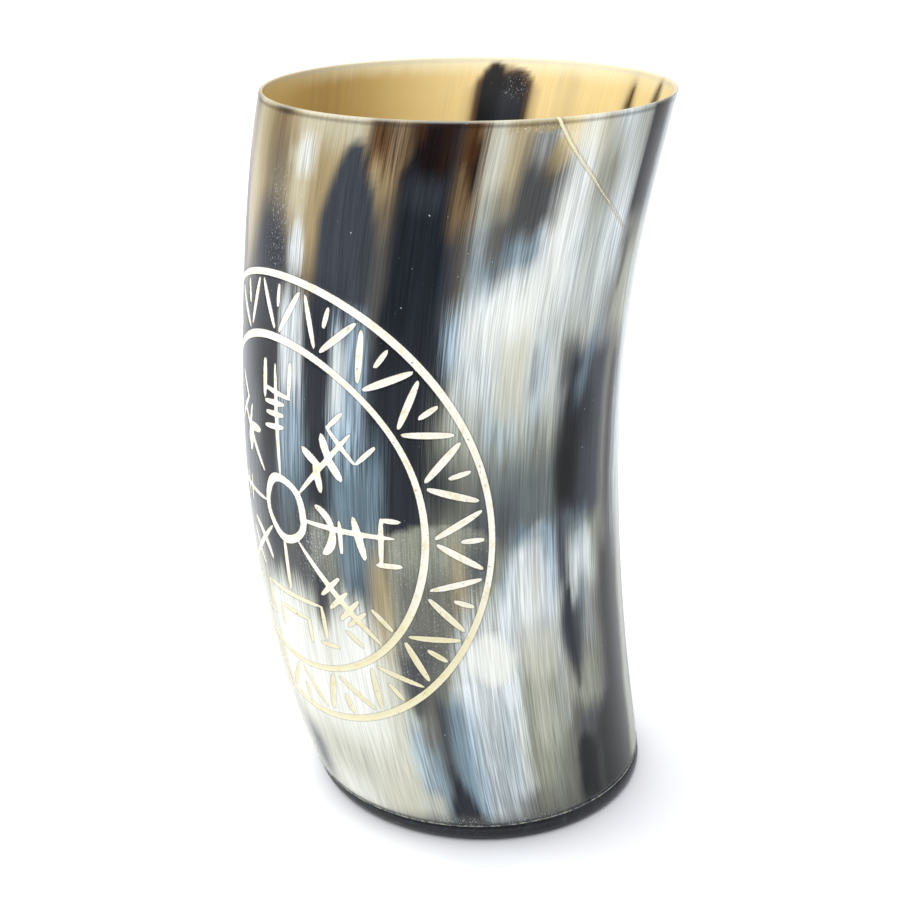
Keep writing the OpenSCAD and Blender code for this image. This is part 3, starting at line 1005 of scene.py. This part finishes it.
class Wire:
    """A shader output that Python expressions can use: each operator adds a node."""

    def __init__(self, finish, socket):
        self.finish = finish
        self.socket = socket

    def combine(self, operation, left, right):
        """Adds one Math or Vector Math node."""
        if self.socket.type != "VECTOR":
            return self.finish.node("ShaderNodeMath", {"operation": operation}, {0: left, 1: right})
        spread = [(side,) * 3 if isinstance(side, (int, float)) else side for side in (left, right)]
        return self.finish.node("ShaderNodeVectorMath", {"operation": operation},
                                {0: spread[0], 1: spread[1]})

    def __add__(self, other):
        return self.combine("ADD", self, other)

    def __radd__(self, other):
        return self.combine("ADD", other, self)

    def __sub__(self, other):
        return self.combine("SUBTRACT", self, other)

    def __rsub__(self, other):
        return self.combine("SUBTRACT", other, self)

    def __mul__(self, other):
        return self.combine("MULTIPLY", self, other)

    def __rmul__(self, other):
        return self.combine("MULTIPLY", other, self)


class Finish:
    """One material and the nodes that make it."""

    def __init__(self, name):
        self.material = bpy.data.materials.new(name)
        self.material.use_nodes = True
        self.tree = self.material.node_tree
        self.tree.nodes.clear()

    def node(self, kind, settings=None, inputs=None, output=0):
        """Adds a node, sets it up, feeds its inputs and gives the wanted output."""
        made = self.tree.nodes.new(kind)
        for name, value in (settings or {}).items():
            setattr(made, name, value)
        for name, value in (inputs or {}).items():
            if isinstance(value, Wire):
                self.tree.links.new(value.socket, made.inputs[name])
            else:
                made.inputs[name].default_value = value
        return Wire(self, made.outputs[output]) if len(made.outputs) else None

    def number(self, name):
        """A number stored on the mesh."""
        return self.node("ShaderNodeAttribute", {"attribute_name": name}, output="Fac")

    def vector(self, name):
        """A vector stored on the mesh."""
        return self.node("ShaderNodeAttribute", {"attribute_name": name}, output="Vector")

    def noise(self, place, detail, roughness):
        """Cloudy noise whose grains are one unit of place across."""
        return self.node("ShaderNodeTexNoise", None,
                         {"Vector": place, "Scale": 1.0, "Detail": detail, "Roughness": roughness})

    def ease(self, value, low, high):
        """0 below low, 1 above high and a soft curve between."""
        return self.node("ShaderNodeMapRange", {"interpolation_type": "SMOOTHSTEP"},
                         {"Value": value, "From Min": low, "From Max": high})

    def blend(self, factor, first, second):
        """The first colour where factor is 0 and the second where it is 1."""
        return self.node("ShaderNodeMix", {"data_type": "RGBA"},
                         {0: factor, 6: paint(first), 7: paint(second)}, output=2)

    def bump(self, height, strength, depth):
        """Fine relief for Normal, with its depth in mm."""
        return self.node("ShaderNodeBump", None,
                         {"Strength": strength, "Distance": depth * MM, "Height": height})

    def surface(self, **sockets):
        """Ends the material with one Principled shader."""
        named = {name.replace("_", " "): paint(value) for name, value in sockets.items()}
        shader = self.node("ShaderNodeBsdfPrincipled", None, named)
        self.node("ShaderNodeOutputMaterial", None, {"Surface": shader})
        return self.material


def paint(value):
    """A colour with its alpha, where value is a bare colour."""
    if isinstance(value, (Wire, int, float)):
        return value
    return (*value, 1.0) if len(value) == 3 else tuple(value)


def polished_horn(looks):
    """The horn: fibres between the two painted colours, chalk in the carving, resin in the crack."""
    horn = Finish("polished_horn")
    grain = horn.vector("grain")
    threads = horn.noise(grain * (3.2, 3.2, 0.06), detail=2.0, roughness=0.6)
    hairs = horn.noise(grain * (6.5, 6.5, 0.12), detail=1.0, roughness=0.5)
    cloud = horn.noise(grain * (0.5, 0.5, 0.035), detail=3.0, roughness=0.55)
    crumbs = horn.noise(grain * 2.6, detail=3.0, roughness=0.6)
    lines = horn.ease(threads * 0.48 + hairs * 0.28 + cloud * 0.24, 0.40, 0.60)
    chalk = horn.ease(horn.number("cut") + (crumbs - 0.5) * 0.12, -0.06, 0.06)

    colour = horn.blend(lines, horn.vector("shadow"), horn.vector("fibre"))
    colour = dusted(horn, looks, colour, grain)
    colour = bare_lip_and_painted_light(horn, looks, colour)
    colour = chalked(horn, looks, colour, grain, crumbs, chalk)
    colour = filled_crack(horn, looks, colour, grain, crumbs)
    rough = hairs * 0.14 + 0.16 + chalk * 0.45
    relief = (hairs * 0.4 + threads * 0.6) * (1 - chalk) + crumbs * chalk * 2.0
    return horn.surface(Base_Color=colour, Roughness=rough, IOR=1.4, Specular_IOR_Level=0.35,
                        Normal=horn.bump(relief, strength=0.35, depth=0.02))


def dusted(horn, looks, colour, grain):
    """Pale dust where it was painted, and a few motes all over."""
    dust = horn.ease(horn.noise(grain * (3.4, 3.4, 2.4), detail=3.0, roughness=0.7), 0.56, 0.70)
    colour = horn.blend(dust * horn.number("dusty") * 0.8, colour, looks.silver)
    motes = horn.ease(horn.noise(grain * 1.9, detail=1.0, roughness=0.5), 0.79, 0.83)
    return horn.blend(motes * 0.5, colour, looks.silver)


def bare_lip_and_painted_light(horn, looks, colour):
    """The lip a little paler, partly bare horn and partly a painted highlight, with a dark line
    under it that is partly where the polish starts and partly painted shade.
    """
    below = horn.number("below_lip")
    lip = horn.ease(below, -2.3, -1.7) * (1.0 - horn.ease(below, -0.3, 0.1))
    # Painted highlight along the lip's top, over its bare paler horn
    colour = horn.blend(lip * 0.4, colour, looks.cream)
    # Painted shade: a dark line just under the lip, also where the polish starts
    line = horn.ease(below, 0.0, 0.35) * (1.0 - horn.ease(below, 0.45, 1.0))
    return horn.blend(line * 0.4, colour, looks.umber)


def chalked(horn, looks, colour, grain, crumbs, chalk):
    """Speckled, stained chalk in the carving, with a painted shadow line round each cut."""
    # Painted shadow: a dark brown line round each cut, where the groove's wall would shade it
    colour = horn.blend(horn.ease(horn.number("cut"), -0.32, -0.06) * 0.35, colour, looks.umber)
    dark_specks = horn.ease(horn.noise(grain * 1.7, detail=2.0, roughness=0.6), 0.68, 0.74)
    blotches = horn.noise(grain * 0.6, detail=3.0, roughness=0.6)
    stained = horn.ease(blotches + crumbs * 0.3, 0.66, 0.84)
    rubbed = horn.blend(horn.number("handled") * 0.6, looks.pigment, looks.stain)
    rubbed = horn.blend(stained * 0.6, rubbed, looks.stain)
    rubbed = horn.blend(dark_specks * 0.7, rubbed, looks.umber)
    return horn.blend(chalk, colour, rubbed)


def filled_crack(horn, looks, colour, grain, crumbs):
    """Pale glittering resin in the crack, with a painted brown shadow line along its edges."""
    crack = horn.number("crack")
    # Painted shadow: a brown line along both edges of the crack
    colour = horn.blend(horn.ease(crack, -0.4, -0.1) * 0.35, colour, looks.bark)
    filled = horn.ease(crack + (crumbs - 0.5) * 0.2, -0.06, 0.06)
    glitter = horn.ease(horn.noise(grain * 5.0, detail=1.0, roughness=0.5), 0.5, 0.6)
    return horn.blend(filled, colour, horn.blend(glitter * 0.5, looks.straw, looks.milk))


def black_horn(looks):
    """The base plate: near-black horn with faint grey streaks and specks."""
    plate = Finish("black_horn")
    grain = plate.vector("grain")
    streaks = plate.noise(grain * (0.25, 1.6, 0.25), detail=4.0, roughness=0.6)
    dust = plate.noise(grain * 3.5, detail=2.0, roughness=0.6)
    colour = plate.blend(plate.ease(streaks, 0.5, 0.8) * 0.2, looks.base_black, looks.teal)
    colour = plate.blend(plate.ease(dust, 0.68, 0.76) * 0.25, colour, looks.olive)
    return plate.surface(Base_Color=colour, Roughness=streaks * 0.2 + 0.2, IOR=1.54,
                         Normal=plate.bump(dust, strength=0.3, depth=0.03))


def cured_glue(looks):
    """The adhesive bead: pale, with horn dust and tiny bubbles in it."""
    glue = Finish("cured_glue")
    grain = glue.vector("grain")
    lumps = glue.noise(grain * 1.1, detail=3.0, roughness=0.65)
    sparks = glue.noise(grain * 4.0, detail=2.0, roughness=0.6)
    colour = glue.blend(glue.ease(lumps, 0.4, 0.62), looks.slate, looks.olive)
    colour = glue.blend(glue.ease(sparks, 0.6, 0.7) * 0.5, colour, looks.silver)
    return glue.surface(Base_Color=colour, Roughness=lumps * 0.3 + 0.3,
                        Normal=glue.bump(lumps, strength=0.6, depth=0.1))


def amber_resin(looks):
    """The sealing fillet: clear amber resin over horn."""
    resin = Finish("amber_resin")
    flow = resin.noise(resin.vector("grain") * 0.3, detail=3.0, roughness=0.6)
    colour = resin.blend(resin.ease(flow, 0.3, 0.7), looks.ochre, looks.honey)
    return resin.surface(Base_Color=colour, Roughness=flow * 0.15 + 0.1, IOR=1.5,
                         Normal=resin.bump(flow, strength=0.3, depth=0.1))


def pale_floor():
    """The studio floor: matt white with the faintest mottling."""
    ground = Finish("pale_floor")
    place = ground.node("ShaderNodeTexCoord", output="Object")
    mottle = ground.ease(ground.noise(place * 3.0, detail=3.0, roughness=0.6), 0.2, 0.8)
    colour = ground.blend(mottle, (0.93, 0.93, 0.93), (0.96, 0.96, 0.96))
    return ground.surface(Base_Color=colour, Roughness=0.7)


# Operators: one for each piece, and one for the stage

class HORNCUP_OT_wall(bpy.types.Operator):
    """Build the horn with its lip, its inside and the carved roundel"""
    bl_idname = "horncup.wall"
    bl_label = "Horn wall"

    def execute(self, context):
        scene = context.scene
        shape = HornShape(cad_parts["horn_wall"])
        sheet = WallSheet(shape, scene.horn_carving, scene.horn_crack)
        mesh = wrap_sheet("horn", sheet.divided(), sheet.profile.place(shape))
        sheet.carve(mesh)
        sheet.colour(mesh, scene.horn_looks)
        new_piece("horn", mesh, "horn_wall", polished_horn(scene.horn_looks))
        return {"FINISHED"}


class HORNCUP_OT_base(bpy.types.Operator):
    """Build the base plate with its worn lower edge"""
    bl_idname = "horncup.base"
    bl_label = "Base plate"

    COLUMNS = 192             # cells round the plate
    EDGE_STEPS = 8            # steps round the worn edge
    FACE_ROWS = 12            # rows across each flat face
    WORN = 1.8                # radius of the worn edge, in mm
    HOLE = 0.5                # half the depth of the hole left in each face to fill, in mm

    def execute(self, context):
        shape = HornShape(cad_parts["horn_wall"])
        low, high = span("base_disc")
        middle = float(shape.depth_at(0.0)) - self.HOLE
        edge = [(self.WORN * (1 - math.sin(turn)), low + self.WORN * (1 - math.cos(turn)))
                for turn in np.linspace(0, math.pi / 2, self.EDGE_STEPS + 1)]
        profile = Profile([(middle, low), *edge, (0.0, high), (middle, high)])
        way = profile.along
        rows = sorted({*np.linspace(0, way[1], self.FACE_ROWS), *way[1:-1],
                       *np.linspace(way[-2], way[-1], self.FACE_ROWS)})
        form = flat_sheet(whole_turn(self.COLUMNS), rows)
        mesh = wrap_sheet("base_plate", form, profile.place(shape))
        close_rims(mesh)
        store_places(mesh)
        new_piece("base_plate", mesh, "base_disc",
                  black_horn(context.scene.horn_looks))
        return {"FINISHED"}


class HORNCUP_OT_glue(bpy.types.Operator):
    """Build the uneven bead of adhesive between horn and base"""
    bl_idname = "horncup.glue"
    bl_label = "Glue bead"

    COLUMNS = 360             # cells round the bead
    BEAD_STEPS = 6            # steps over the bead
    PROUD = 0.14              # how far the bead stands out of the horn at most, in mm

    def execute(self, context):
        shape = HornShape(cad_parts["horn_wall"])
        low, high = span("glue_line")
        bead = [(-self.PROUD * math.sin(turn), low + (high - low) * (1 - math.cos(turn)) / 2)
                for turn in np.linspace(0, math.pi, self.BEAD_STEPS + 1)]
        wall = float(shape.wall_at(high))
        profile = Profile([*bead, (wall, high), (wall, low), bead[0]])
        place = profile.place(shape)

        def lumpy(around, along):
            """Sinks the bead by a different share of its height all the way round."""
            turn = np.radians(around)
            lump = 0.5 + 0.3 * np.sin(23 * turn) * np.sin(7 * turn + 1) + 0.2 * np.sin(61 * turn)
            inset = np.interp(along, profile.along, profile.inset)
            sunk = np.where(inset < 0, -inset * (1 - lump), 0.0)
            away = np.stack([np.sin(turn), -np.cos(turn), 0 * turn], axis=-1)
            return place(around, along) - away * sunk[:, None]

        mesh = wrap_sheet("glue_bead", flat_sheet(whole_turn(self.COLUMNS), profile.along), lumpy)
        store_places(mesh)
        new_piece("glue_bead", mesh, "glue_line", cured_glue(context.scene.horn_looks))
        return {"FINISHED"}


class HORNCUP_OT_seal(bpy.types.Operator):
    """Build the resin fillet in the inner corner"""
    bl_idname = "horncup.seal"
    bl_label = "Inner seal"

    COLUMNS = 192             # cells round the fillet
    HOLLOW_STEPS = 8          # steps down its hollow face
    HOLLOW_SHARE = 0.86       # radius of the hollow face, as a share of the fillet's leg
    GAP = 0.1                 # how far it lies clear of the wall, in mm

    def execute(self, context):
        shape = HornShape(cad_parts["horn_wall"])
        low, high = span("inner_seal")
        wall = float(shape.wall_at(high)) + self.GAP
        leg = high - low
        bend = leg * self.HOLLOW_SHARE
        hollow = [(wall + leg - bend * math.cos(turn), high - bend * math.sin(turn))
                  for turn in np.linspace(0, math.pi / 2, self.HOLLOW_STEPS + 1)]
        profile = Profile([(wall, low), (wall, high), *hollow, (wall + leg, low), (wall, low)])
        form = flat_sheet(whole_turn(self.COLUMNS), profile.along)
        mesh = wrap_sheet("seal_fillet", form, profile.place(shape))
        store_places(mesh)
        new_piece("seal_fillet", mesh, "inner_seal", amber_resin(context.scene.horn_looks))
        return {"FINISHED"}


class LightBox(NamedTuple):
    """A soft lamp aimed at the middle of the cup: its place and size in metres."""
    name: str
    place: tuple
    size: tuple
    watts: float
    colour: tuple = (1.0, 1.0, 1.0)

    def hang(self, scene, middle):
        """Adds the lamp to the scene."""
        lamp = bpy.data.lights.new(self.name, "AREA")
        lamp.shape = "RECTANGLE"
        lamp.size, lamp.size_y = self.size
        lamp.energy = self.watts
        lamp.color = self.colour
        box = bpy.data.objects.new(self.name, lamp)
        box.location = self.place
        aim = Vector(middle) - Vector(self.place)
        box.rotation_euler = aim.to_track_quat("-Z", "Y").to_euler()
        scene.collection.objects.link(box)


class HORNCUP_OT_stage(bpy.types.Operator):
    """Set up the floor, the soft lights and the camera"""
    bl_idname = "horncup.stage"
    bl_label = "Studio"

    MIDDLE = (0.0, 0.0, 0.08)                # what the light boxes aim at, in metres
    AIR_COLOUR = (0.86, 0.90, 1.0, 1.0)
    AIR_STRENGTH = 0.43
    DOME_STRENGTH = 3.0
    DOME_SPREAD = math.radians(90)
    DOME_TILT = (math.radians(12), math.radians(-14), 0.0)
    BOXES = (
        LightBox("left_strip", (-0.38, -0.25, 0.13), (0.08, 0.26), 0.12),
        LightBox("right_box", (1.1, 0.35, 0.7), (0.9, 1.0), 2.0, (0.95, 0.98, 1.0)),
    )
    SENSOR = 36.0                            # width of the camera's sensor in mm

    def execute(self, context):
        studio = context.scene.horn_studio
        self.floor(context.scene, studio)
        self.lights(context.scene)
        self.camera(context.scene, studio)
        return {"FINISHED"}

    def floor(self, scene, studio):
        side = studio.floor_size / 2
        mesh = bpy.data.meshes.new("floor")
        mesh.from_pydata([(-side, -side, 0), (side, -side, 0), (side, side, 0), (-side, side, 0)],
                         [], [(0, 1, 2, 3)])
        mesh.materials.append(pale_floor())
        floor = bpy.data.objects.new("floor", mesh)
        scene.collection.objects.link(floor)

    def lights(self, scene):
        world = bpy.data.worlds.new("studio_air")
        scene.world = world
        world.use_nodes = True
        air = world.node_tree.nodes["Background"]
        air.inputs["Color"].default_value = self.AIR_COLOUR
        air.inputs["Strength"].default_value = self.AIR_STRENGTH
        dome = bpy.data.lights.new("dome", "SUN")
        dome.energy = self.DOME_STRENGTH
        dome.angle = self.DOME_SPREAD
        sky = bpy.data.objects.new("dome", dome)
        sky.rotation_euler = self.DOME_TILT
        scene.collection.objects.link(sky)
        for box in self.BOXES:
            box.hang(scene, self.MIDDLE)
        scene.view_settings.view_transform = "Standard"
        scene.view_settings.look = "Medium High Contrast"

    def camera(self, scene, studio):
        eye = bpy.data.cameras.new("camera")
        eye.lens = studio.lens
        eye.sensor_width = self.SENSOR
        camera = bpy.data.objects.new("camera", eye)
        turn = (Matrix.Rotation(studio.heading, 4, "Z")
                @ Matrix.Rotation(math.pi / 2 - studio.pitch, 4, "X")
                @ Matrix.Rotation(studio.roll, 4, "Z"))
        camera.matrix_world = Matrix.Translation((studio.east, -studio.south, studio.high)) @ turn
        scene.collection.objects.link(camera)
        scene.camera = camera


class HORNCUP_PT_panel(bpy.types.Panel):
    """Sidebar panel that lists the cup's pieces and settings"""
    bl_idname = "HORNCUP_PT_panel"
    bl_label = "Horn cup"
    bl_space_type = "VIEW_3D"
    bl_region_type = "UI"
    bl_category = "Horn cup"

    def draw(self, context):
        for step in STEPS:
            self.layout.operator(step.bl_idname)
        for group_name, kind in GROUPS.items():
            column = self.layout.column(align=True)
            for name in kind.__annotations__:
                column.prop(getattr(context.scene, group_name), name)


GROUPS = {"horn_carving": CarvingSizes, "horn_crack": CrackSizes, "horn_looks": HornLooks,
          "horn_studio": StudioSettings}
STEPS = (HORNCUP_OT_stage, HORNCUP_OT_wall, HORNCUP_OT_base, HORNCUP_OT_glue, HORNCUP_OT_seal)


def register():
    """Makes the settings, the operators and the panel known to Blender."""
    for kind in (*GROUPS.values(), *STEPS, HORNCUP_PT_panel):
        bpy.utils.register_class(kind)
    for name, kind in GROUPS.items():
        setattr(bpy.types.Scene, name, PointerProperty(type=kind))


def unregister():
    """Takes them all out again."""
    for name in GROUPS:
        delattr(bpy.types.Scene, name)
    for kind in (HORNCUP_PT_panel, *reversed(STEPS), *reversed(GROUPS.values())):
        bpy.utils.unregister_class(kind)


def main():
    """Builds everything in order."""
    register()
    bpy.ops.horncup.stage()
    bpy.ops.horncup.wall()
    bpy.ops.horncup.base()
    bpy.ops.horncup.glue()
    bpy.ops.horncup.seal()


if __name__ == "__main__":
    main()
